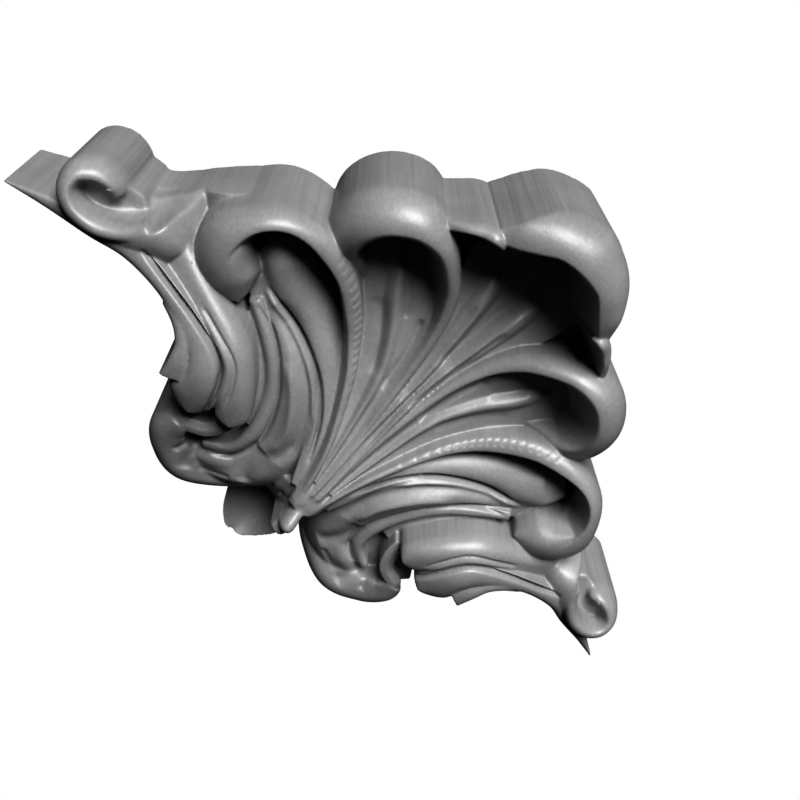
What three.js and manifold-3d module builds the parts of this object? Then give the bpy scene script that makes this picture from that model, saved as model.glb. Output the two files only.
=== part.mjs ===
// Corner onlay of carved acanthus leaves, one solid with a flat back.
// The left half is drawn leaf by leaf and mirrored across the diagonal through the outer corner.
// The plan lies on a square grid: x to the right, y up, top is the height over the flat back.
// Each leaf is a ridge line of stations. A station gives the place and height of the ridge,
// how far the leaf reaches to either side of it, and how far it falls to each edge.
import * as THREE from "three";
import { mergeVertices } from "three/addons/utils/BufferGeometryUtils.js";
import Module from "manifold-3d";

const GRID = 0.4; // millimetres in one square of the plan grid
const FACETS = 3; // facets from the ridge of a leaf to each edge, where the leaf names no other number
const EDGE_MIN = 0.6; // least half width of a leaf where it is rounded off, in squares

const wasm = await Module();
wasm.setup();

// Section shapes, from 0 at the ridge to 1 at the edge.
const round = (v) => 1 - Math.sqrt(Math.max(0, 1 - v * v));
const bold = (v) => 1 - Math.cbrt(Math.max(0, 1 - v * v * v));
const soft = (v) => v * v;
const ease = (v) => v * v * (3 - 2 * v);
const slope = (v) => v;

// A smooth curve through every station, in all its numbers at once.
function station(rows, t) {
  const last = rows.length - 1;
  const place = Math.min(Math.max(t, 0) * last, last - 1e-9);
  const i = Math.floor(place);
  const u = place - i;
  const a = rows[Math.max(i - 1, 0)];
  const b = rows[i];
  const c = rows[i + 1];
  const d = rows[Math.min(i + 2, last)];
  return b.map((_, k) => {
    const linear = (c[k] - a[k]) * u;
    const square = (2 * a[k] - 5 * b[k] + 4 * c[k] - d[k]) * u * u;
    const cube = (3 * b[k] - a[k] - 3 * c[k] + d[k]) * u * u * u;
    return b[k] + (linear + square + cube) / 2;
  });
}

// One leaf as a closed geometry: the carved top, upright edges and a flat underside.
function leaf({ rows, steps, facets = FACETS, left = round, right = round, endRound = 0, startRound = 0 }) {
  const points = [];
  const width = 2 * facets + 1;
  for (let i = 0; i <= steps; i += 1) {
    const share = i / steps;
    let t = share;
    if (endRound && startRound) t = (1 - Math.cos(Math.PI * share)) / 2;
    else if (endRound) t = Math.sin((Math.PI / 2) * share);
    else if (startRound) t = 1 - Math.cos((Math.PI / 2) * share);
    const [x, y, top, reachLeft, reachRight, fallLeft, fallRight] = station(rows, t);
    const ahead = station(rows, Math.min(t + 0.004, 1));
    const behind = station(rows, Math.max(t - 0.004, 0));
    const along = Math.hypot(ahead[0] - behind[0], ahead[1] - behind[1]);
    const nx = -(ahead[1] - behind[1]) / along;
    const ny = (ahead[0] - behind[0]) / along;
    let narrow = 1;
    if (endRound && t > 1 - endRound) {
      narrow = Math.sqrt(Math.max(0, 1 - ((t - 1 + endRound) / endRound) ** 2));
    }
    if (startRound && t < startRound) {
      narrow = Math.sqrt(Math.max(0, 1 - ((startRound - t) / startRound) ** 2));
    }
    for (let j = 0; j < width; j += 1) {
      const side = j / facets - 1;
      const v = Math.sin((Math.PI / 2) * Math.abs(side));
      const reach = Math.max(EDGE_MIN, (side < 0 ? reachLeft : reachRight) * narrow);
      const fall = side < 0 ? fallLeft * left(v) : fallRight * right(v);
      const offset = side < 0 ? reach * v : -reach * v;
      points.push(x + nx * offset, y + ny * offset, Math.max(2, top - fall));
    }
    const first = points.length - 3 * width;
    const end = points.length - 3;
    points.push(points[first], points[first + 1], 0);
    points.push(points[end], points[end + 1], 0);
  }
  const ring = width + 2;
  const faces = [];
  const quad = (a, b, c, d) => faces.push(a, b, c, a, c, d);
  for (let i = 0; i < steps; i += 1) {
    const here = i * ring;
    const next = here + ring;
    for (let j = 0; j < width - 1; j += 1) quad(here + j, here + j + 1, next + j + 1, next + j);
    quad(here + width - 1, here + width + 1, next + width + 1, next + width - 1);
    quad(here + width + 1, here + width, next + width, next + width + 1);
    quad(here + width, here, next, next + width);
  }
  const tail = steps * ring;
  for (let j = 0; j < width - 1; j += 1) {
    faces.push(width, j + 1, j);
    faces.push(tail + width, tail + j, tail + j + 1);
  }
  faces.push(width, width + 1, width - 1);
  faces.push(tail + width, tail + width - 1, tail + width + 1);
  const geometry = new THREE.BufferGeometry();
  geometry.setAttribute("position", new THREE.Float32BufferAttribute(points, 3));
  geometry.setIndex(faces);
  return geometry;
}

// A geometry as a solid for joining, with its faces turned out.
function solid(geometry) {
  const merged = mergeVertices(geometry, 1e-4);
  const triVerts = new Uint32Array(merged.index.array);
  const vertProperties = new Float32Array(merged.attributes.position.array);
  const made = new wasm.Manifold(new wasm.Mesh({ numProp: 3, vertProperties, triVerts }));
  if (made.volume() > 0) return made;
  for (let i = 0; i < triVerts.length; i += 3) {
    const kept = triVerts[i + 1];
    triVerts[i + 1] = triVerts[i + 2];
    triVerts[i + 2] = kept;
  }
  return new wasm.Manifold(new wasm.Mesh({ numProp: 3, vertProperties, triVerts }));
}

// The same leaf on the other side of the diagonal.
const mirrored = (spec) => ({
  ...spec,
  rows: spec.rows.map(([x, y, top, l, r, fl, fr]) => [y, x, top, r, l, fr, fl]),
  left: spec.right,
  right: spec.left,
});

// Leaves of the left half. Station: x, y, top, reach left, reach right, fall left, fall right.
const half = {
  ground: {
    steps: 3,
    facets: 2,
    rows: [
      [-134, 150, 104, 14, 14, 2, 2],
      [-140, 80, 110, 16, 16, 2, 2],
      [-146, 20, 110, 18, 18, 2, 2],
      [-176, -20, 110, 30, 24, 2, 2],
    ],
  },
  bedScroll: {
    steps: 3,
    facets: 1,
    rows: [
      [-244, 184, 120, 14, 14, 2, 2],
      [-212, 148, 130, 14, 14, 2, 2],
      [-202, 90, 140, 14, 14, 2, 2],
      [-188, 20, 130, 12, 10, 2, 2],
    ],
  },
  bedCurl: {
    steps: 2,
    facets: 1,
    rows: [
      [-244, -44, 84, 30, 24, 2, 2],
      [-200, -44, 84, 36, 36, 2, 2],
      [-156, -44, 84, 36, 36, 2, 2],
    ],
  },
  bedHook: {
    steps: 1,
    facets: 1,
    rows: [
      [-212, 206, 96, 10, 18, 2, 2],
      [-150, 196, 96, 20, 14, 2, 2],
    ],
  },
  bedLobe: {
    steps: 2,
    facets: 1,
    rows: [
      [-44, 40, 92, 10, 10, 2, 2],
      [-42, 90, 88, 10, 10, 2, 2],
      [-48, 140, 84, 10, 10, 2, 2],
    ],
  },
  bedCrown: {
    steps: 2,
    facets: 1,
    rows: [
      [60, 130, 76, 14, 30, 2, 2],
      [66, 170, 74, 16, 30, 2, 2],
      [72, 200, 72, 16, 20, 2, 2],
    ],
  },
  volute: {
    steps: 14,
    endRound: 0.1,
    rows: [
      [-378, 244, 106, 1, 1, 2, 2],
      [-338, 228, 118, 5, 7, 4, 5],
      [-295, 206, 131, 10, 11, 6, 7],
      [-258, 184, 143, 13, 9, 8, 8],
      [-226, 150, 154, 12, 10, 8, 8],
      [-206, 118, 164, 13, 14, 8, 7],
      [-192, 88, 174, 14, 14, 8, 7],
      [-191, 64, 177, 13, 17, 8, 7],
      [-204, 44, 172, 18, 27, 8, 9],
      [-216, 22, 166, 22, 22, 8, 10],
    ],
  },
  beak: {
    steps: 6,
    facets: 2,
    rows: [
      [-224, 140, 155, 6, 9, 6, 7],
      [-214, 118, 163, 7, 9, 6, 7],
      [-212, 98, 168, 8, 9, 6, 7],
      [-219, 80, 170, 11, 10, 5, 6],
      [-225, 63, 169, 13, 15, 3, 5],
    ],
  },
  coil: {
    steps: 9,
    endRound: 0.14,
    rows: [
      [-214, 184, 138, 24, 14, 10, 4],
      [-186, 140, 153, 30, 16, 16, 4],
      [-165, 95, 167, 24, 17, 20, 3],
      [-161, 60, 170, 21, 20, 22, 3],
      [-166, 30, 169, 18, 20, 14, 4],
      [-176, -2, 164, 20, 20, 10, 6],
    ],
  },
  lip: {
    steps: 8,
    facets: 2,
    left: soft,
    right: slope,
    rows: [
      [-142, 124, 120, 6, 5, 6, 4],
      [-131, 85, 125, 6, 6, 6, 6],
      [-129, 45, 127, 6, 6, 8, 8],
      [-138, 5, 128, 7, 7, 9, 10],
      [-156, -28, 128, 8, 5, 10, 10],
      [-185, -50, 128, 8, 2, 10, 10],
      [-216, -42, 127, 6, 2, 8, 8],
    ],
  },
  bay: {
    steps: 3,
    facets: 2,
    left: slope,
    right: slope,
    rows: [
      [-231, -2, 142, 34, 8, 40, 2],
      [-206, -16, 140, 36, 7, 32, 2],
      [-186, -14, 138, 34, 8, 28, 2],
      [-165, 10, 134, 30, 8, 20, 2],
    ],
  },
  backLeaf: {
    steps: 9,
    left: soft,
    right: soft,
    rows: [
      [-126, 140, 116, 12, 14, 6, 6],
      [-110, 95, 124, 12, 20, 8, 10],
      [-100, 48, 133, 15, 28, 10, 16],
      [-101, 4, 138, 16, 34, 10, 20],
      [-114, -38, 137, 18, 38, 10, 20],
      [-142, -76, 128, 26, 36, 18, 14],
      [-180, -92, 118, 26, 36, 24, 8],
      [-216, -80, 114, 26, 32, 14, 8],
    ],
  },
  lowerCurl: {
    steps: 9,
    left: bold,
    rows: [
      [-160, -106, 112, 14, 20, 12, 2],
      [-200, -103, 115, 16, 20, 12, 4],
      [-241, -82, 120, 20, 20, 12, 8],
      [-253, -46, 127, 20, 18, 16, 10],
      [-247, -21, 134, 22, 15, 18, 6],
      [-231, -8, 143, 12, 12, 12, 4],
    ],
  },
  bump: {
    steps: 5,
    facets: 2,
    startRound: 0.5,
    endRound: 0.5,
    rows: [
      [-218, -62, 114, 20, 18, 8, 8],
      [-198, -68, 124, 22, 18, 12, 10],
      [-172, -72, 120, 20, 18, 8, 8],
    ],
  },
  hook: {
    steps: 15,
    rows: [
      [-160, 210, 106, 14, 6, 4, 6],
      [-190, 219, 119, 8, 7, 8, 8],
      [-216, 213, 130, 10, 8, 4, 8],
      [-240, 206, 142, 10, 9, 4, 10],
      [-265, 203, 144, 8, 10, 6, 18],
      [-288, 210, 144, 10, 10, 8, 18],
      [-305, 227, 143, 16, 10, 18, 20],
      [-309, 244, 139, 16, 10, 26, 24],
      [-299, 256, 134, 15, 9, 34, 24],
      [-282, 252, 130, 12, 8, 36, 20],
      [-270, 238, 122, 8, 6, 28, 14],
    ],
  },
  dish: {
    steps: 5,
    facets: 2,
    startRound: 0.4,
    left: soft,
    right: soft,
    rows: [
      [-310, 246, 116, 14, 14, -6, -6],
      [-282, 228, 110, 22, 24, -8, -8],
      [-258, 216, 98, 12, 12, -12, -2],
      [-232, 212, 92, 8, 6, -14, 0],
    ],
  },
  drop: {
    steps: 5,
    facets: 2,
    endRound: 0.6,
    rows: [
      [-212, 216, 110, 16, 12, 6, 6],
      [-222, 206, 136, 22, 20, 10, 8],
      [-230, 192, 149, 24, 24, 14, 12],
      [-234, 170, 145, 22, 22, 12, 10],
    ],
  },
  fan: {
    steps: 21,
    left: ease,
    right: bold,
    rows: [
      [-116, -104, 160, 8, 3, 8, 3],
      [-80, -40, 150, 8, 4, 14, 4],
      [-56, 30, 132, 8, 6, 16, 8],
      [-47, 100, 121, 10, 9, 14, 10],
      [-57, 156, 132, 15, 12, 26, 16],
      [-82, 191, 143, 20, 15, 40, 26],
      [-114, 209, 150, 24, 18, 46, 34],
      [-146, 204, 152, 22, 28, 36, 38],
      [-166, 186, 151, 16, 40, 16, 46],
      [-164, 165, 149, 12, 46, 12, 48],
      [-148, 152, 142, 10, 34, 12, 42],
      [-132, 145, 124, 4, 14, 10, 18],
    ],
  },
  fanBlade: {
    steps: 9,
    facets: 2,
    left: soft,
    right: soft,
    rows: [
      [-112, -84, 144, 8, 8, -2, -2],
      [-84, -20, 128, 12, 14, -4, -4],
      [-74, 40, 116, 16, 18, -5, -5],
      [-78, 100, 107, 24, 24, -2, -4],
      [-97, 146, 104, 26, 28, 0, 0],
      [-124, 168, 112, 24, 28, 2, 8],
      [-148, 174, 132, 22, 26, 2, 8],
      [-166, 176, 146, 16, 16, 2, 4],
    ],
  },
  lobe: {
    steps: 19,
    right: ease,
    rows: [
      [-32, 128, 84, 8, 6, 4, 4],
      [-40, 156, 104, 12, 10, 12, 12],
      [-46, 180, 138, 26, 18, 30, 36],
      [-36, 198, 151, 34, 26, 44, 54],
      [-10, 207, 154, 37, 34, 46, 60],
      [17, 201, 152, 33, 30, 46, 58],
      [37, 182, 147, 20, 22, 36, 50],
      [45, 156, 135, 16, 18, 26, 40],
      [45, 124, 122, 14, 14, 18, 28],
      [34, 86, 116, 10, 10, 12, 18],
      [6, 36, 118, 6, 8, 6, 8],
      [-46, -32, 136, 4, 6, 4, 6],
      [-108, -100, 160, 3, 4, 3, 3],
    ],
  },
  lobeBlade: {
    steps: 7,
    facets: 2,
    left: soft,
    right: soft,
    rows: [
      [-112, -98, 156, 8, 8, 2, 2],
      [-66, -34, 134, 12, 12, 2, 0],
      [-32, 22, 114, 20, 22, 2, -2],
      [-10, 78, 103, 28, 34, 4, -2],
      [0, 128, 96, 38, 42, 4, -2],
      [-2, 172, 92, 38, 40, 0, -2],
      [-6, 212, 90, 36, 36, 0, 0],
    ],
  },
  lobeRib: {
    steps: 6,
    facets: 2,
    rows: [
      [-92, -76, 152, 2, 2, 4, 4],
      [-52, -16, 132, 4, 4, 6, 6],
      [-22, 36, 116, 6, 6, 8, 8],
      [-10, 88, 108, 8, 8, 10, 10],
      [-4, 130, 102, 10, 9, 12, 10],
      [-4, 166, 94, 9, 9, 8, 8],
    ],
  },
  crownRib: {
    steps: 6,
    facets: 2,
    rows: [
      [-96, -90, 160, 3, 3, 6, 6],
      [-32, -24, 132, 4, 4, 8, 8],
      [28, 38, 114, 6, 6, 10, 10],
      [62, 82, 106, 10, 9, 14, 14],
      [90, 122, 96, 14, 12, 16, 16],
      [106, 150, 84, 14, 12, 12, 12],
    ],
  },
  small: {
    steps: 7,
    facets: 2,
    rows: [
      [40, 198, 138, 10, 8, 16, 10],
      [58, 204, 148, 8, 8, 18, 14],
      [74, 205, 155, 9, 10, 20, 20],
      [87, 197, 160, 12, 10, 22, 24],
      [95, 182, 152, 10, 8, 16, 24],
    ],
  },
};

// Leaves that lie on the diagonal and are their own mirror image.
const middle = {
  crown: {
    steps: 14,
    startRound: 0.06,
    endRound: 0.06,
    left: bold,
    right: ease,
    rows: [
      [78, 180, 140, 30, 14, 22, 30],
      [106, 184, 156, 31, 36, 30, 60],
      [134, 180, 162, 50, 56, 32, 80],
      [158, 158, 164, 65, 66, 32, 84],
      [180, 134, 162, 50, 56, 32, 80],
      [184, 106, 156, 31, 36, 30, 60],
      [180, 78, 140, 30, 14, 22, 30],
    ],
  },
  crownBlade: {
    steps: 8,
    facets: 2,
    left: soft,
    right: soft,
    rows: [
      [-137, -137, 170, 12, 12, 8, 8],
      [-100, -100, 160, 8, 8, 2, 2],
      [-60, -60, 144, 8, 8, 2, 2],
      [-20, -20, 124, 12, 12, 2, 2],
      [30, 30, 106, 24, 24, -2, -2],
      [80, 80, 94, 48, 48, -4, -4],
      [130, 130, 84, 70, 70, -4, -4],
      [180, 180, 80, 56, 56, 0, 0],
    ],
  },
  stem: {
    steps: 5,
    facets: 2,
    startRound: 0.1,
    rows: [
      [-154, -154, 76, 38, 38, 10, 10],
      [-140, -140, 142, 42, 42, 30, 30],
      [-122, -122, 162, 42, 42, 36, 36],
      [-80, -80, 150, 30, 30, 16, 16],
      [-30, -30, 122, 28, 28, 10, 10],
    ],
  },
  tongue: {
    steps: 7,
    endRound: 0.45,
    left: soft,
    right: soft,
    rows: [
      [-120, -120, 50, 34, 34, -10, -10],
      [-150, -150, 44, 37, 37, -20, -20],
      [-178, -178, 52, 36, 36, -16, -16],
      [-205, -205, 68, 30, 30, 0, 0],
    ],
  },
};

const spec = [...Object.values(half), ...Object.values(half).map(mirrored), ...Object.values(middle)];
let carved = null;
for (const each of spec) {
  const piece = solid(leaf(each));
  carved = carved ? carved.add(piece) : piece;
}

const mesh = carved.getMesh();
const shape = new THREE.BufferGeometry();
shape.setAttribute("position", new THREE.Float32BufferAttribute(mesh.vertProperties, 3));
shape.setIndex(Array.from(mesh.triVerts));
shape.scale(GRID, GRID, GRID);
shape.rotateX(Math.PI / 2);
shape.computeVertexNormals();

const onlay = new THREE.Mesh(shape, new THREE.MeshStandardMaterial({ color: 0x8c8c8c, roughness: 0.45 }));
onlay.name = "carved_onlay";
const group = new THREE.Group();
group.add(onlay);
export default group;
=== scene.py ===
# %% [markdown]
# Carved corner onlay
# A corner onlay is a piece of carved ornament that is glued to a door, a panel or a piece of furniture.
# This one is a fan of acanthus leaves with rolled tips, two scrolls and two pointed tails, all cut from one
# block with a flat back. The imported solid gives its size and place; this lesson carves a finer skin over it.

# %% The frame
from math import pi, radians
import bpy
import bmesh
import numpy as np
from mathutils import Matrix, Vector


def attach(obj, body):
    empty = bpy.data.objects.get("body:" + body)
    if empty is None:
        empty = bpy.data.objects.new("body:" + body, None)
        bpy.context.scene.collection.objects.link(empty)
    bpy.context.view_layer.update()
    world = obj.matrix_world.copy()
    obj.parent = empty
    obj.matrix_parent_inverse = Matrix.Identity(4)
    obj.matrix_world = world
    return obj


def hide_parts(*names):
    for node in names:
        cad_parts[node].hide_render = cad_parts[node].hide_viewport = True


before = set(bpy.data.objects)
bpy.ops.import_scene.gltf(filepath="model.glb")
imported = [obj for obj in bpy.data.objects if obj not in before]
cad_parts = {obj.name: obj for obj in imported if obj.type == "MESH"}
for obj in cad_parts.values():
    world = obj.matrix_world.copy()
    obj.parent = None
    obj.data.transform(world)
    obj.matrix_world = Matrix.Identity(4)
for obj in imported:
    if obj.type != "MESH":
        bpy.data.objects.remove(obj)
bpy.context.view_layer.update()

# %% [markdown]
# Measures
# The plan of the onlay was drawn on a square grid, x to the right, y up, and height counted from the back.
# One square is 0.4 mm, so a leaf can be written in whole numbers that a carver could check with a rule.

# %% Measures
SQUARE = 0.0004            # metres in one square of the plan grid
BEHIND = -6.0              # how far leaves run past the back before it is sawn flat, in squares
THINNEST = 0.6             # least half width of a leaf where it is rounded off, in squares
VOXEL = 0.0005
MOST_TRIANGLES = 190_000

# %% [markdown]
# How one leaf is made
# A carver first marks the ridge of each leaf, then rounds both sides down from it. The same can be done with
# a curve, a bevel profile or a sculpting brush. Here a leaf is a list of stations along its ridge. Each
# station says where the ridge is, how high, how far the leaf reaches to the left and right, and how far it
# falls to each edge. A smooth curve through the stations gives the rest, so a few rows make a whole leaf.

# %% One leaf
def rounded(v):
    return 1 - np.sqrt(np.clip(1 - v * v, 0, None))


def soft(v):
    return v * v


def ease(v):
    return v * v * (3 - 2 * v)


def straight(v):
    return v


def hollow(v):
    return 1 - (1 - v) ** 2


def along(rows, t):
    """Catmull-Rom curve through the rows, in all their numbers at once."""
    rows = np.asarray(rows, float)
    last = len(rows) - 1
    place = np.clip(t, 0, 1) * last
    i = np.minimum(place.astype(int), last - 1)
    u = (place - i)[:, None]
    a = rows[np.maximum(i - 1, 0)]
    b = rows[i]
    c = rows[i + 1]
    d = rows[np.minimum(i + 2, last)]
    bend = (c - a) * u + (2 * a - 5 * b + 4 * c - d) * u ** 2 + (3 * b - a - 3 * c + d) * u ** 3
    return b + bend / 2


def leaf(rows, left=rounded, right=rounded, start_round=0.0, end_round=0.0, across=14, density=2.2):
    """Points and faces of one closed leaf, in squares: x, y and height."""
    rows = np.asarray(rows, float)
    length = np.hypot(*np.diff(rows[:, :2], axis=0).T).sum()
    steps = max(12, int(length / density))
    share = np.linspace(0, 1, steps + 1)
    t = share
    if start_round and end_round:
        t = (1 - np.cos(pi * share)) / 2
    elif end_round:
        t = np.sin(pi / 2 * share)
    elif start_round:
        t = 1 - np.cos(pi / 2 * share)
    x, y, top, reach_l, reach_r, fall_l, fall_r = along(rows, t).T
    way = along(rows, np.minimum(t + 0.004, 1)) - along(rows, np.maximum(t - 0.004, 0))
    size = np.hypot(way[:, 0], way[:, 1])
    nx = -way[:, 1] / size
    ny = way[:, 0] / size
    narrow = np.ones_like(t)
    if end_round:
        near = np.clip((t - 1 + end_round) / end_round, 0, 1)
        narrow *= np.sqrt(1 - near ** 2)
    if start_round:
        near = np.clip((start_round - t) / start_round, 0, 1)
        narrow *= np.sqrt(1 - near ** 2)
    side = np.linspace(-1, 1, 2 * across + 1)
    v = np.sin(pi / 2 * np.abs(side))
    reach = np.where(side[None] < 0, reach_l[:, None], reach_r[:, None]) * narrow[:, None]
    reach = np.maximum(THINNEST, reach) * v * -np.sign(side)
    fall = np.where(side[None] < 0, fall_l[:, None] * left(v), fall_r[:, None] * right(v))
    px = x[:, None] + nx[:, None] * reach
    py = y[:, None] + ny[:, None] * reach
    pz = np.maximum(2, top[:, None] - fall)
    width = side.size
    carved = np.stack([px, py, pz], axis=2)
    under = carved[:, ::-1].copy()
    under[:, :, 2] = BEHIND
    points = np.concatenate([carved, under], axis=1)
    ring = 2 * width
    here = np.arange(steps)[:, None] * ring + np.arange(ring)[None]
    beside = np.arange(steps)[:, None] * ring + np.roll(np.arange(ring), -1)[None]
    walls = np.stack([here, beside, beside + ring, here + ring], axis=2).reshape(-1, 4)
    strip = np.arange(width - 1)
    cap = np.stack([strip + 1, strip, ring - 1 - strip, ring - 2 - strip], axis=1)
    faces = np.concatenate([walls, cap, cap[:, ::-1] + steps * ring])
    return points.reshape(-1, 3), faces


HALF = {}      # leaves of the left half, mirrored across the diagonal
MIDDLE = {}    # leaves that lie on the diagonal

# %% [markdown]
# The beds
# Between the leaves a carver cuts the block down and not through. These low strips are that ground. They are
# nearly flat, and the leaves that are laid over them next hide most of them.

# %% The beds
HALF["ground"] = dict(rows=[
    (-136, 150, 110, 16, 14, 2, 2), (-142, 80, 118, 14, 14, 2, 2),
    (-146, 20, 122, 16, 16, 2, 2), (-168, -20, 118, 26, 20, 4, 2),
])
HALF["bed_scroll"] = dict(rows=[
    (-244, 184, 122, 14, 14, 2, 2), (-214, 148, 138, 14, 14, 2, 2),
    (-206, 90, 158, 16, 12, 2, 2), (-190, 20, 152, 12, 10, 2, 2),
])
HALF["bed_tip"] = dict(rows=[(-140, 186, 60, 16, 22, 2, 2), (-66, 186, 60, 14, 20, 2, 2)])
HALF["bed_slit"] = dict(rows=[(-52, 115, 70, 12, 12, 2, 2), (-52, 165, 70, 12, 12, 2, 2)])
HALF["bed_fold"] = dict(rows=[(-142, 130, 70, 14, 14, 2, 2), (-142, 90, 70, 14, 14, 2, 2)])
HALF["bed_under"] = dict(rows=[(-176, 14, 70, 16, 16, 2, 2), (-176, -28, 70, 16, 16, 2, 2)])
HALF["bed_low"] = dict(rows=[(-236, -6, 70, 14, 18, 2, 2), (-190, -6, 70, 16, 18, 2, 2)])
HALF["bed_nose"] = dict(rows=[(-238, 2, 120, 10, 12, 2, 2), (-200, 4, 124, 14, 14, 2, 2)])
HALF["bed_curl"] = dict(rows=[
    (-244, -44, 100, 30, 24, 2, 2), (-200, -44, 100, 36, 36, 2, 2), (-156, -44, 100, 36, 36, 2, 2),
])
HALF["bed_hook"] = dict(rows=[
    (-264, 212, 60, 15, 14, 2, 2), (-239, 208, 60, 14, 14, 2, 2), (-212, 208, 60, 15, 18, 2, 2),
    (-174, 206, 92, 21, 14, 2, 2), (-140, 202, 94, 26, 14, 2, 2),
])
HALF["bed_lobe"] = dict(rows=[
    (-44, 40, 102, 10, 10, 2, 2), (-42, 90, 99, 10, 10, 2, 2), (-48, 140, 92, 10, 10, 2, 2),
])
HALF["bed_crown"] = dict(rows=[
    (60, 130, 76, 14, 30, 2, 2), (66, 170, 74, 16, 30, 2, 2), (72, 200, 72, 16, 20, 2, 2),
])
beds = len(HALF)
print("beds", beds)

# %% [markdown]
# The scroll and its tail
# Three bands run together from the pointed tail. The outer one ends in a beak, the middle one in a round
# nose, and the inner one folds back under the fan. A low lip and a broad back leaf follow them round.

# %% The scroll
HALF["scroll_outer"] = dict(rows=[
    (-378, 244, 106, 1, 1, 2, 2), (-338, 228, 118, 5, 7, 4, 5),
    (-295, 206, 131, 10, 11, 6, 7), (-258, 184, 143, 13, 9, 6, 8),
    (-226, 150, 154, 12, 9, 6, 8), (-206, 118, 164, 13, 14, 6, 8),
    (-193, 88, 172, 13, 18, 5, 10), (-194, 64, 175, 14, 22, 6, 14),
    (-205, 42, 171, 20, 29, 8, 16), (-217, 20, 163, 22, 25, 12, 18),
], end_round=0.1)
HALF["beak"] = dict(rows=[
    (-224, 140, 154, 7, 8, 6, 7), (-214, 118, 163, 9, 8, 8, 7),
    (-212, 98, 168, 9, 9, 8, 7), (-219, 80, 170, 12, 10, 6, 6), (-226, 61, 168, 14, 15, 4, 5),
])
HALF["scroll_inner"] = dict(rows=[
    (-216, 184, 128, 12, 14, 8, 4), (-192, 142, 148, 14, 16, 18, 4),
    (-169, 95, 166, 19, 16, 24, 3), (-163, 60, 170, 17, 19, 22, 3),
    (-167, 30, 169, 17, 19, 18, 4), (-176, 2, 163, 18, 19, 12, 8),
], end_round=0.12)
HALF["lip"] = dict(rows=[
    (-146, 126, 121, 7, 7, 3, 5), (-136, 85, 126, 7, 7, 3, 5),
    (-133, 45, 128, 7, 7, 3, 5), (-141, 5, 129, 7, 8, 4, 5),
    (-160, -30, 128, 8, 8, 4, 5), (-186, -48, 126, 8, 6, 4, 5), (-216, -42, 124, 7, 5, 4, 5),
], left=soft, right=soft)
HALF["shelf"] = dict(rows=[
    (-246, -14, 136, 8, 8, 6, 2), (-228, -8, 142, 9, 8, 4, 2),
    (-208, -16, 141, 9, 8, 4, 2), (-188, -12, 141, 10, 8, 4, 2), (-170, 2, 140, 10, 8, 4, 2),
], left=straight, right=straight)
HALF["back_leaf"] = dict(rows=[
    (-132, 150, 112, 12, 14, 6, 6), (-112, 95, 123, 12, 22, 10, 6),
    (-102, 48, 133, 15, 30, 10, 10), (-103, 4, 138, 16, 36, 12, 14),
    (-116, -38, 137, 28, 40, 16, 16), (-146, -72, 130, 38, 36, 24, 10),
    (-182, -86, 123, 34, 36, 34, 6), (-216, -74, 118, 30, 30, 24, 6),
], left=soft, right=soft)
HALF["lower_curl"] = dict(rows=[
    (-160, -106, 100, 16, 22, 18, 2), (-200, -101, 110, 18, 24, 22, 2),
    (-241, -81, 121, 22, 24, 20, 4), (-253, -47, 130, 21, 22, 20, 6),
    (-248, -22, 137, 22, 18, 22, 6), (-234, -8, 142, 12, 12, 12, 4),
])
HALF["curl_bump"] = dict(rows=[
    (-232, -52, 118, 14, 14, 12, 10), (-206, -66, 124, 22, 20, 16, 14), (-172, -76, 120, 24, 24, 14, 14),
], left=soft, right=soft, start_round=0.5, end_round=0.5)
banded = len(HALF)
print("leaves of the scroll", banded - beds)

# %% [markdown]
# The hook and its apron
# Over the tail a small leaf rolls forward into a hook with a hollow inside. Its front edge runs on to the
# right as a crisp line, with a smooth hollow above it and a round apron hanging below it.

# %% The hook
HALF["hook"] = dict(rows=[
    (-236, 204, 146, 12, 10, 14, 10), (-262, 202, 146, 9, 10, 12, 18),
    (-288, 209, 145, 10, 10, 14, 20), (-305, 226, 143, 14, 8, 20, 24),
    (-309, 243, 139, 15, 7, 26, 26), (-300, 254, 133, 15, 8, 32, 26),
    (-284, 252, 128, 15, 8, 36, 24), (-272, 242, 124, 12, 7, 34, 20), (-268, 229, 118, 9, 6, 26, 16),
], end_round=0.06)
HALF["dish"] = dict(rows=[
    (-306, 242, 112, 14, 14, -6, -8), (-284, 228, 110, 22, 22, -6, -14),
    (-262, 218, 104, 18, 14, 0, -18), (-246, 212, 104, 12, 8, 4, -20),
], start_round=0.4, end_round=0.2, left=soft, right=soft)
HALF["apron"] = dict(rows=[
    (-276, 204, 138, 14, 10, 30, 4), (-258, 201, 144, 20, 18, 42, 10),
    (-242, 203, 147, 19, 32, 56, 22), (-230, 207, 146, 14, 40, 62, 30),
    (-219, 212, 136, 10, 42, 58, 30), (-209, 216, 116, 7, 42, 36, 26), (-197, 220, 84, 5, 36, 10, 16),
    (-184, 222, 36, 4, 24, 4, 8),
], left=hollow)
hooked = len(HALF)
print("leaves of the hook", hooked - banded)

# %% [markdown]
# The fan and the lobes
# The shell of the ornament is a fan of leaves that spread from the root. Each has a rim that rolls over at
# the top and a hollow blade inside it. A steep inner side on the rim gives the deep shadow of the carving.

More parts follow.
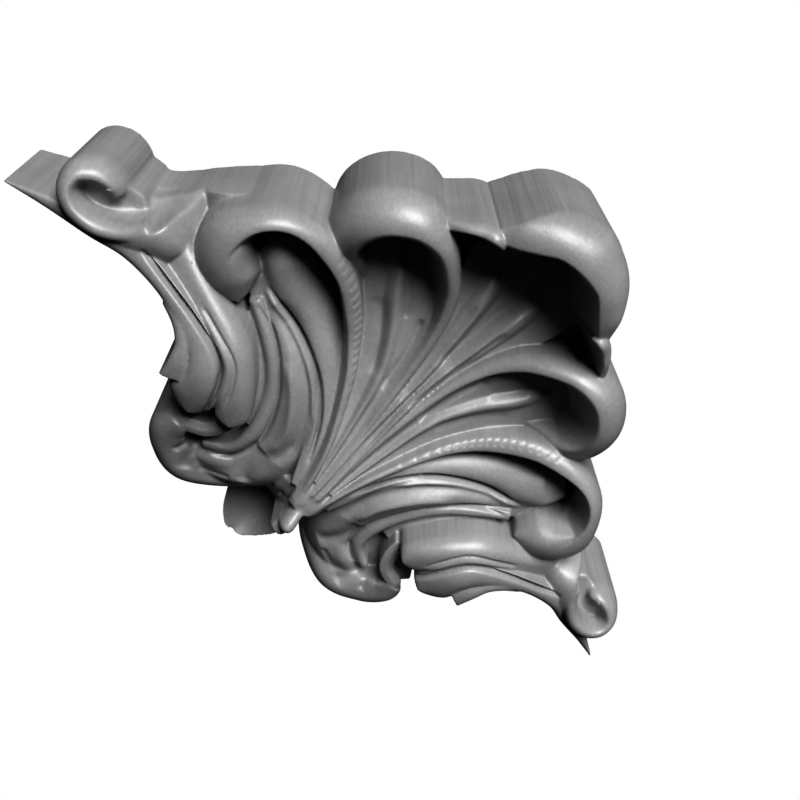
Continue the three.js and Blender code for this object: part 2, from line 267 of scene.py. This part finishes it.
# %% The fan
HALF["fan_rim"] = dict(rows=[
    (-116, -104, 160, 8, 3, 8, 3), (-80, -40, 150, 8, 4, 14, 4),
    (-58, 30, 133, 8, 8, 16, 6), (-53, 72, 124, 7, 12, 18, 7),
    (-54, 108, 125, 7, 16, 28, 9), (-60, 148, 133, 8, 18, 42, 14),
    (-77, 182, 142, 8, 18, 48, 18), (-95, 202, 147, 8, 16, 50, 24),
    (-116, 210, 151, 9, 18, 50, 32), (-138, 207, 153, 11, 22, 46, 36),
    (-156, 194, 154, 15, 34, 36, 40), (-165, 178, 153, 18, 36, 30, 42),
    (-164, 164, 151, 18, 34, 26, 44), (-156, 153, 146, 14, 26, 24, 42),
], left=ease, end_round=0.03)
HALF["ball"] = dict(rows=[
    (-150, 196, 150, 14, 14, 40, 20), (-161, 176, 153, 21, 28, 46, 26),
    (-164, 154, 149, 26, 32, 42, 36), (-160, 130, 134, 20, 22, 28, 32),
], start_round=0.35, end_round=0.4)
HALF["fan_blade"] = dict(rows=[
    (-112, -84, 146, 8, 8, 2, 4), (-88, -20, 136, 12, 14, 2, 8),
    (-82, 40, 124, 18, 22, 2, 18), (-94, 98, 118, 18, 36, 4, 30),
    (-112, 136, 120, 22, 42, 10, 34), (-122, 162, 122, 20, 44, 24, 34), (-118, 190, 112, 18, 36, 28, 28),
], left=soft, right=soft)
HALF["lobe_rim"] = dict(rows=[
    (-32, 128, 84, 8, 6, 4, 4), (-40, 156, 104, 12, 10, 12, 16),
    (-46, 176, 130, 24, 16, 32, 44), (-36, 196, 145, 34, 22, 44, 52),
    (-12, 207, 154, 36, 20, 44, 60), (17, 203, 155, 32, 20, 40, 60),
    (38, 184, 148, 19, 18, 30, 52), (46, 156, 136, 15, 14, 24, 40),
    (46, 124, 123, 14, 12, 18, 28), (35, 86, 116, 10, 10, 12, 18),
    (6, 36, 118, 6, 8, 6, 8), (-46, -32, 136, 4, 6, 4, 6), (-108, -100, 160, 3, 4, 3, 3),
], right=ease)
HALF["lobe_blade"] = dict(rows=[
    (-112, -98, 156, 8, 8, 2, 2), (-66, -34, 134, 12, 12, 2, 0),
    (-32, 22, 114, 20, 22, 2, -2), (-10, 78, 103, 28, 34, 4, -2),
    (0, 128, 96, 38, 42, 4, -2), (-2, 172, 88, 38, 40, 0, -2), (-6, 212, 84, 36, 36, 0, 0),
], left=soft, right=soft)
HALF["lobe_rib"] = dict(rows=[
    (-92, -76, 152, 4, 4, 4, 4), (-52, -16, 133, 7, 7, 8, 8),
    (-22, 36, 118, 13, 12, 12, 11), (-8, 88, 110, 19, 17, 14, 13),
    (-2, 130, 105, 23, 19, 16, 16), (0, 166, 90, 20, 18, 10, 10),
], left=ease, right=ease)
HALF["crown_rib"] = dict(rows=[
    (-96, -90, 160, 4, 4, 6, 6), (-32, -24, 133, 7, 6, 10, 10),
    (28, 38, 116, 13, 11, 13, 13), (62, 82, 109, 20, 17, 17, 17),
    (90, 122, 100, 28, 22, 20, 18), (104, 150, 84, 24, 20, 14, 14),
], left=ease, right=ease)
HALF["small_leaf"] = dict(rows=[
    (46, 206, 136, 8, 8, 8, 40), (62, 206, 146, 8, 10, 10, 56),
    (78, 203, 151, 11, 11, 14, 64), (90, 198, 156, 11, 11, 14, 66), (98, 190, 150, 8, 10, 10, 60),
], right=ease)
MIDDLE["crown"] = dict(rows=[
    (92, 198, 148, 13, 11, 8, 60), (110, 194, 157, 23, 13, 10, 74),
    (132, 191, 164, 32, 13, 26, 82), (150, 188, 168, 37, 13, 42, 86),
    (163, 180, 170, 41, 14, 44, 88), (172, 172, 171, 43.5, 14, 44, 90),
    (180, 163, 170, 41, 14, 44, 88), (188, 150, 168, 37, 13, 42, 86),
    (191, 132, 164, 32, 13, 26, 82), (194, 110, 157, 23, 13, 10, 74), (198, 92, 148, 13, 11, 8, 60),
], right=ease)
MIDDLE["crown_blade"] = dict(rows=[
    (-137, -137, 160, 10, 10, 8, 8), (-100, -100, 157, 8, 8, 2, 2),
    (-60, -60, 144, 8, 8, 2, 2), (-20, -20, 124, 12, 12, 2, 2),
    (30, 30, 106, 24, 24, -2, -2), (80, 80, 94, 48, 48, -4, -4),
    (130, 130, 82, 70, 70, -4, -4), (180, 180, 76, 56, 56, 0, 0),
], left=soft, right=soft)
print("leaves of the fan", len(HALF) - hooked, "and of the crown", len(MIDDLE))

# %% [markdown]
# The root
# All the blades meet at the inner corner. Below them the carver leaves a steep flank, a small knob, and
# a low tongue that would tuck under the next piece of ornament.

# %% The root
HALF["flank"] = dict(rows=[
    (-104, -104, 156, 10, 8, 8, 2), (-122, -100, 138, 25, 14, 22, 2),
    (-140, -96, 118, 29, 14, 22, 2), (-160, -90, 102, 30, 14, 20, 2), (-184, -84, 90, 28, 14, 18, 2),
], left=soft)
MIDDLE["stem"] = dict(rows=[
    (-154, -154, 60, 16, 16, 6, 6), (-138, -138, 104, 22, 22, 20, 20),
    (-120, -120, 148, 18, 18, 24, 24), (-80, -80, 146, 26, 26, 22, 22), (-30, -30, 120, 26, 26, 10, 10),
], start_round=0.1, left=straight, right=straight)
MIDDLE["knob"] = dict(rows=[
    (-131, -131, 162, 9, 9, 12, 12), (-123, -123, 174, 9, 9, 16, 16), (-110, -110, 162, 6, 6, 8, 8),
], start_round=0.4)
MIDDLE["tongue"] = dict(rows=[
    (-120, -120, 40, 34, 34, -20, -20), (-150, -150, 36, 43, 43, -28, -28),
    (-180, -180, 42, 42, 42, -26, -26), (-208, -208, 62, 28, 28, -6, -6),
], end_round=0.45, left=soft, right=soft)
print("leaves in all", len(HALF) * 2 + len(MIDDLE))

# %% [markdown]
# Joining the leaves
# The leaves overlap, as the shapes in a clay sketch do. A boolean union could join them, but a voxel remesh
# is safer with so many overlaps, and it blends the meeting lines a little, as a carver's chisel does.

# %% Joining the leaves
def gather():
    points, faces, count = [], [], 0
    for mirror, group in ((False, HALF), (True, HALF), (False, MIDDLE)):
        for spec in group.values():
            p, f = leaf(**spec)
            if mirror:
                p = p[:, [1, 0, 2]]
                f = f[:, ::-1]
            points.append(p)
            faces.append(f + count)
            count += len(p)
    return np.concatenate(points), np.concatenate(faces)


def baked(obj):
    """The mesh with its modifiers applied, and the modifiers taken off."""
    bpy.context.view_layer.update()
    graph = bpy.context.evaluated_depsgraph_get()
    mesh = bpy.data.meshes.new_from_object(obj.evaluated_get(graph))
    obj.modifiers.clear()
    obj.data = mesh
    return mesh


points, faces = gather()
metres = np.stack([points[:, 0], -points[:, 2], points[:, 1]], axis=1) * SQUARE
rough = bpy.data.meshes.new("rough_leaves")
rough.from_pydata(metres.tolist(), [], faces.tolist())
onlay = bpy.data.objects.new("onlay", rough)
bpy.context.scene.collection.objects.link(onlay)
blank = onlay.modifiers.new("one block", "REMESH")
blank.mode = "VOXEL"
blank.voxel_size = VOXEL
smooth = onlay.modifiers.new("soften", "SMOOTH")
smooth.factor = 0.5
smooth.iterations = 5
block = baked(onlay)
print("block faces", len(block.polygons))

# %% [markdown]
# Soft spots
# In some places the carver sanded two cuts into one smooth hollow: beside the hook, round the ball of the
# fan, on the lower curl, at the root and on the tongue. A Smooth modifier does the same, held to those spots
# by a vertex group.

# %% Soft spots
SOFT_SPOTS = [(-234, 210, 26), (-210, 214, 18), (-272, 222, 20), (-150, 160, 24), (-132, 150, 18),
              (-205, -66, 26), (-236, -50, 22), (-246, -16, 14), (-190, -84, 24), (-118, 186, 16),
              (-262, 226, 16), (-204, 218, 14), (-102, -94, 18), (-112, -106, 14),
              (-138, -66, 16), (-206, -184, 22), (-214, -214, 20)]
skin = np.empty(3 * len(block.vertices))
block.vertices.foreach_get("co", skin)
plan = skin.reshape(-1, 3)[:, [0, 2]] / SQUARE
weight = np.zeros(len(plan))
for x, y, radius in SOFT_SPOTS + [(y, x, radius) for x, y, radius in SOFT_SPOTS]:
    away = np.hypot(plan[:, 0] - x, plan[:, 1] - y) / radius
    weight = np.maximum(weight, np.clip(1.6 - 1.6 * away, 0, 1))
spots = onlay.vertex_groups.new(name="soft spots")
for level in range(1, 6):
    spots.add(np.flatnonzero(np.ceil(weight * 5) == level).tolist(), level / 5, "REPLACE")
sand = onlay.modifiers.new("sand", "SMOOTH")
sand.vertex_group = "soft spots"
sand.factor = 0.5
sand.iterations = 70
block = baked(onlay)
onlay.vertex_groups.clear()
print("sanded vertices", int((weight > 0).sum()))

# %% [markdown]
# Gouge lines
# The last tools on a carving are the small gouges: a veiner for the thin dark lines between bands, a flat
# sweep for shallow valleys, and single nicks along a rim. Each line here is a path with a width and a depth,
# and the skin is pressed in along it. A depth below zero leaves a raised strip instead.

# %% Gouge lines
LINES = [
    # width, depth, then the path as x, y and height
    (2.2, 9.0, [(-246, 190, 138), (-225, 161, 148), (-196, 120, 158), (-178, 83, 167), (-181, 58, 168),
                (-195, 28, 162), (-206, 12, 152)]),
    (3.2, -1.6, [(-198, 134, 154), (-188, 118, 158), (-171, 83, 168), (-173, 58, 169), (-186, 28, 164)]),
    (1.8, 2.0, [(-192, 134, 154), (-181, 116, 158), (-164, 83, 168), (-166, 58, 169), (-179, 26, 164)]),
    (2.2, 9.0, [(-132, 140, 112), (-104, 94, 116), (-90, 58, 124), (-84, 26, 130), (-86, -12, 138),
                (-100, -58, 146)]),
    (3.0, -3.0, [(-138, 138, 114), (-111, 94, 120), (-97, 58, 128), (-92, 24, 134), (-94, -12, 138)]),
    (8.0, 8.0, [(-124, 122, 116), (-110, 92, 122), (-100, 59, 130), (-98, 17, 136), (-110, -33, 136),
                (-136, -64, 130)]),
    (2.2, 6.0, [(-143, 122, 118), (-128, 85, 122), (-125, 45, 126), (-132, 4, 126), (-152, -38, 124),
                (-182, -60, 120), (-210, -56, 118)]),
    (5.0, -3.0, [(-116, 60, 128), (-114, 20, 134), (-122, -20, 134), (-142, -50, 130)]),
    (9.0, 4.0, [(-150, -46, 128), (-168, -66, 124), (-176, -96, 112)]),
    (3.5, 3.5, [(-212, -30, 128), (-230, -38, 132), (-246, -48, 128)]),
    (7.0, 4.0, [(-214, -48, 118), (-230, -58, 118), (-240, -78, 116)]),
    (3.5, 1.6, [(-226, -78, 116), (-208, -84, 114), (-190, -90, 112)]),
    (5.0, -3.0, [(-276, 242, 116), (-277, 230, 114)]),
    (7.0, 2.0, [(8, 140, 96), (4, 118, 98), (6, 96, 100)]),
    (7.0, 2.5, [(-22, 120, 98), (-18, 80, 102), (-30, 36, 110)]),
    (4.0, 4.0, [(24, 96, 104), (8, 60, 108), (-20, 20, 114)]),
    (4.0, 4.0, [(80, 112, 98), (40, 60, 106), (0, 8, 116)]),
    (7.0, 3.0, [(118, 128, 84), (80, 88, 92), (40, 46, 102)]),
    (2.6, 2.5, [(-118, -104, 138), (-121, -114, 130), (-123, -122, 120)]),
    (2.6, 2.5, [(-130, -102, 126), (-133, -112, 118), (-135, -122, 106)]),
    (2.6, 2.5, [(-143, -100, 114), (-146, -110, 106), (-148, -120, 96)]),
]
RIM_NICKS = [
    # a row of short cuts across a rim: first and last share of the ridge, how many, width, depth, slant
    ("fan_rim", 0.12, 0.42, 18, 1.8, 0.8, 6.0),
]


def nicks(name, first, last, count, width, depth, slant):
    spots = along(HALF[name]["rows"], np.linspace(first, last, count))
    ahead = along(HALF[name]["rows"], np.linspace(first, last, count) + 0.01)
    for (x, y, top, _, reach_r, _, fall_r), (ax, ay, *_) in zip(spots, ahead):
        size = np.hypot(ax - x, ay - y)
        ux, uy = (ax - x) / size, (ay - y) / size
        far = reach_r + 2
        inner = (x + uy * far * 0.4, y - ux * far * 0.4, top - fall_r * 0.3)
        outer = (x + uy * far * 0.9 + ux * slant, y - ux * far * 0.9 + uy * slant, top - fall_r * 0.8)
        yield width, depth, [inner, outer]


def press(skin, width, depth, path):
    """Presses one line into the skin, which is in squares."""
    path = along(path, np.linspace(0, 1, 5 * len(path)))
    reach = 2.6 * width
    low = path.min(axis=0) - (reach, reach, 32)
    high = path.max(axis=0) + (reach, reach, 32)
    near = np.flatnonzero(((skin > low) & (skin < high)).all(axis=1))
    if not len(near):
        return
    spot = skin[near]
    best = np.full(len(near), 1e9)
    level = np.zeros(len(near))
    share = np.zeros(len(near))
    for k, (a, b) in enumerate(zip(path[:-1], path[1:])):
        step = b[:2] - a[:2]
        u = np.clip(((spot[:, :2] - a[:2]) @ step) / (step @ step), 0, 1)
        away = np.hypot(*(spot[:, :2] - a[:2] - u[:, None] * step).T)
        closer = away < best
        best = np.where(closer, away, best)
        level = np.where(closer, a[2] + u * (b[2] - a[2]), level)
        share = np.where(closer, (k + u) / (len(path) - 1), share)
    fade = np.clip(np.minimum(share, 1 - share) * 7, 0, 1)
    window = np.clip(2.0 - np.abs(spot[:, 2] - level) / 14, 0, 1)
    skin[near, 2] -= depth * np.exp(-(best / width) ** 2) * window * fade


skin = np.empty(3 * len(block.vertices))
block.vertices.foreach_get("co", skin)
skin = skin.reshape(-1, 3)[:, [0, 2, 1]] * (1, 1, -1) / SQUARE
cuts = LINES + [cut for row in RIM_NICKS for cut in nicks(*row)]
for width, depth, path in cuts:
    press(skin, width, depth, path)
    press(skin, width, depth, [(y, x, h) for x, y, h in path])
block.vertices.foreach_set("co", (skin[:, [0, 2, 1]] * (1, -1, 1) * SQUARE).ravel())
block.update()
print("gouge lines", 2 * len(cuts))

# %% [markdown]
# Paint
# The piece is painted a satin grey that hides the wood. The paint is not one flat grey: it is a little
# patchy and streaked along the saw cuts, and its surface is slightly grainy. Noise in object
# coordinates gives all of that, so it stays on the carving when the carving is moved.

# %% Paint
paint = bpy.data.materials.new("satin_grey_paint")
paint.use_nodes = True
nodes = paint.node_tree.nodes
links = paint.node_tree.links
shader = nodes["Principled BSDF"]
shader.inputs["Roughness"].default_value = 0.42
shader.inputs["Specular IOR Level"].default_value = 0.6


def noise(scale, stretch, detail):
    """A noise in object coordinates; stretch below one draws it out along that axis."""
    place = nodes.new("ShaderNodeTexCoord")
    turn = nodes.new("ShaderNodeMapping")
    turn.inputs["Scale"].default_value = stretch
    cloud = nodes.new("ShaderNodeTexNoise")
    cloud.inputs["Scale"].default_value = scale
    cloud.inputs["Detail"].default_value = detail
    links.new(place.outputs["Object"], turn.inputs["Vector"])
    links.new(turn.outputs["Vector"], cloud.inputs["Vector"])
    return cloud


patches = noise(45, (1, 1, 1), 4)
streaks = noise(700, (1, 0.02, 1), 3)
grain = noise(1500, (1, 1, 1), 2)
both = nodes.new("ShaderNodeMix")
both.data_type = "FLOAT"
both.inputs["Factor"].default_value = 0.5
links.new(patches.outputs["Fac"], both.inputs["A"])
links.new(streaks.outputs["Fac"], both.inputs["B"])
tone = nodes.new("ShaderNodeValToRGB")
tone.color_ramp.elements[0].position = 0.3
tone.color_ramp.elements[0].color = (0.195, 0.195, 0.195, 1)
tone.color_ramp.elements[1].position = 0.7
tone.color_ramp.elements[1].color = (0.265, 0.265, 0.265, 1)
links.new(both.outputs["Result"], tone.inputs["Fac"])
links.new(tone.outputs["Color"], shader.inputs["Base Color"])
saw = nodes.new("ShaderNodeBump")
saw.inputs["Strength"].default_value = 0.25
saw.inputs["Distance"].default_value = 0.0003
links.new(streaks.outputs["Fac"], saw.inputs["Height"])
speck = nodes.new("ShaderNodeBump")
speck.inputs["Strength"].default_value = 0.12
speck.inputs["Distance"].default_value = 0.0002
links.new(grain.outputs["Fac"], speck.inputs["Height"])
links.new(saw.outputs["Normal"], speck.inputs["Normal"])
links.new(speck.outputs["Normal"], shader.inputs["Normal"])
print("paint nodes", len(nodes))

# %% [markdown]
# Saw marks
# The outline was cut with a saw that went straight through the board, so fine streaks run from front to back
# on every upright wall, and none on the rounded tops. That is a rule, so Geometry Nodes does it: a noise in
# the plan, the same at every depth, moves the walls in and out, and the slope of the skin fades it on top.

# %% Saw marks
SAW = {"Streak depth": 0.0005, "Streaks per metre": 420.0, "Ripple depth": 0.0006,
       "Ripples per metre": 55.0, "Seed": 3.0}


def saw_marks():
    """A node tree that streaks upright walls, ripples the tops and sets the paint."""
    tree = bpy.data.node_groups.new("saw marks", "GeometryNodeTree")
    face = tree.interface
    face.new_socket("Geometry", in_out="INPUT", socket_type="NodeSocketGeometry")
    for name in SAW:
        face.new_socket(name, in_out="INPUT", socket_type="NodeSocketFloat")
    face.new_socket("Paint", in_out="INPUT", socket_type="NodeSocketMaterial")
    face.new_socket("Geometry", in_out="OUTPUT", socket_type="NodeSocketGeometry")
    new = tree.nodes.new
    link = tree.links.new
    given = new("NodeGroupInput").outputs
    result = new("NodeGroupOutput").inputs

    def maths(kind, a, b):
        node = new("ShaderNodeMath")
        node.operation = kind
        for socket, value in zip(node.inputs, (a, b)):
            if isinstance(value, (int, float)):
                socket.default_value = value
            else:
                link(value, socket)
        return node.outputs[0]

    def cloud(vector, scale, detail):
        node = new("ShaderNodeTexNoise")
        node.noise_dimensions = "4D"
        node.inputs["Detail"].default_value = detail
        link(vector, node.inputs["Vector"])
        link(scale, node.inputs["Scale"])
        link(given["Seed"], node.inputs["W"])
        return maths("SUBTRACT", node.outputs[0], 0.5)

    place = new("GeometryNodeInputPosition").outputs[0]
    apart = new("ShaderNodeSeparateXYZ")
    link(place, apart.inputs[0])
    plan = new("ShaderNodeCombineXYZ")
    link(apart.outputs["X"], plan.inputs["X"])
    link(apart.outputs["Z"], plan.inputs["Z"])
    normal = new("GeometryNodeInputNormal").outputs[0]
    facing = new("ShaderNodeSeparateXYZ")
    link(normal, facing.inputs[0])
    flat = maths("ABSOLUTE", facing.outputs["Y"], 0.0)
    wall = maths("MAXIMUM", maths("SUBTRACT", 1.0, maths("MULTIPLY", flat, 5.0)), 0.0)
    streak = maths("MULTIPLY", cloud(plan.outputs[0], given["Streaks per metre"], 2.0), wall)
    streak = maths("MULTIPLY", streak, given["Streak depth"])
    ripple = maths("MULTIPLY", cloud(place, given["Ripples per metre"], 1.0), flat)
    ripple = maths("MULTIPLY", ripple, given["Ripple depth"])
    push = new("ShaderNodeVectorMath")
    push.operation = "SCALE"
    link(normal, push.inputs[0])
    link(maths("ADD", streak, ripple), push.inputs["Scale"])
    move = new("GeometryNodeSetPosition")
    link(given["Geometry"], move.inputs["Geometry"])
    link(push.outputs[0], move.inputs["Offset"])
    real = new("GeometryNodeRealizeInstances")
    link(move.outputs[0], real.inputs[0])
    coat = new("GeometryNodeSetMaterial")
    link(real.outputs[0], coat.inputs["Geometry"])
    link(given["Paint"], coat.inputs["Material"])
    link(coat.outputs[0], result[0])
    return tree


tree = saw_marks()
sawn = onlay.modifiers.new("saw marks", "NODES")
sawn.node_group = tree
settings = {**SAW, "Paint": paint}
for item in tree.interface.items_tree:
    if item.in_out == "INPUT" and item.name in settings:
        sawn[item.identifier] = settings[item.name]
block = baked(onlay)
print("sawn faces", len(block.polygons))

# %% [markdown]
# Thin the skin and saw the back flat
# A dense skin is only needed where the surface bends, so faces are merged until the piece is light. Then a
# boolean takes off all that lies behind the back plane, as a last pass over a planer would.

# %% Flat back
PLANER = 0.6               # side of the block that stands for the planer, in metres
thin = onlay.modifiers.new("fewer faces", "DECIMATE")
thin.ratio = min(1.0, MOST_TRIANGLES / (2 * len(block.polygons)))
bm = bmesh.new()
bmesh.ops.create_cube(bm, size=PLANER)
bmesh.ops.translate(bm, verts=bm.verts[:], vec=(0, PLANER / 2, 0))
waste = bpy.data.meshes.new("waste")
bm.to_mesh(waste)
bm.free()
planer = bpy.data.objects.new("planer", waste)
bpy.context.scene.collection.objects.link(planer)
flat = onlay.modifiers.new("flat back", "BOOLEAN")
flat.operation = "DIFFERENCE"
flat.solver = "MANIFOLD"
flat.object = planer
carved = baked(onlay)
bpy.data.objects.remove(planer)

bm = bmesh.new()
bm.from_mesh(carved)
bmesh.ops.triangulate(bm, faces=[f for f in bm.faces if len(f.verts) > 3])
bm.normal_update()
back = {f for f in bm.faces if f.normal.y > 0.999 and abs(f.calc_center_median().y) < 1e-6}
for face in bm.faces:
    face.smooth = True
for edge in bm.edges:
    edge.smooth = sum(f in back for f in edge.link_faces) != 1
bm.to_mesh(carved)
print("triangles", len(bm.faces), "on the back", len(back), "open", sum(not e.is_manifold for e in bm.edges))
bm.free()

# %% [markdown]
# Light, floor and camera
# The photograph has one soft light from the upper right and hardly any light from below, which is why the
# hollows are so dark. A wide sun lamp gives that, a dim world keeps the shadows deep, and a gamma below one
# deepens them a little more. A weaker lamp from behind lets the flat back be seen too. The floor and the
# walls of the room are plain white and far away, so that no shadow of the piece falls on them.

# %% Light, floor and camera
scene = bpy.context.scene
scene.view_settings.view_transform = "Standard"
scene.view_settings.gamma = 0.72
world = bpy.data.worlds.new("studio")
scene.world = world
world.use_nodes = True
world.node_tree.nodes["Background"].inputs["Color"].default_value = (0.01, 0.01, 0.01, 1)


def lamp(name, energy, spread, place):
    """A sun lamp that shines from the given direction; spread is its width in degrees."""
    sun = bpy.data.lights.new(name, "SUN")
    sun.energy = energy
    sun.angle = radians(spread)
    stand = bpy.data.objects.new(name, sun)
    stand.rotation_euler = Vector(place).to_track_quat("Z", "Y").to_euler()
    scene.collection.objects.link(stand)


lamp("key", 7.0, 36, (0.36, -0.53, 0.77))
lamp("bounce", 3.0, 20, (0, 0.87, -0.5))

white = bpy.data.materials.new("white_floor")
white.use_nodes = True
glow = white.node_tree.nodes.new("ShaderNodeEmission")
glow.inputs["Color"].default_value = (1, 1, 1, 1)
white.node_tree.links.new(glow.outputs[0], white.node_tree.nodes["Material Output"].inputs["Surface"])
board = bpy.data.meshes.new("floor")
ROOM = 6.0                 # from the piece to each wall of the room, in metres
LEVELS = (-0.5, 8.0)       # heights of the floor and of the top of the walls, in metres
corners = [(-ROOM, -ROOM), (ROOM, -ROOM), (ROOM, ROOM), (-ROOM, ROOM)]
sides = [(0, 1, 5, 4), (1, 2, 6, 5), (2, 3, 7, 6), (3, 0, 4, 7)]
board.from_pydata([(x, y, z) for z in LEVELS for x, y in corners], [], [(0, 1, 2, 3)] + sides)
board.materials.append(white)
floor = bpy.data.objects.new("floor", board)
floor.visible_diffuse = False
floor.visible_glossy = False
floor.visible_shadow = False
scene.collection.objects.link(floor)

lens = bpy.data.cameras.new("camera")
lens.sensor_width = 36
lens.lens = 42.75
lens.clip_start = 0.01
eye = bpy.data.objects.new("camera", lens)
eye.location = (0, -0.39728, 0.20788)
eye.rotation_euler = (radians(59.75), 0, 0)
scene.collection.objects.link(eye)
scene.camera = eye
print("camera", [round(v, 3) for v in eye.location])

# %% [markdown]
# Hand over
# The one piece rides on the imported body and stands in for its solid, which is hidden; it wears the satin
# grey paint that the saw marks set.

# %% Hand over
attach(onlay, "root")
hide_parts("carved_onlay")
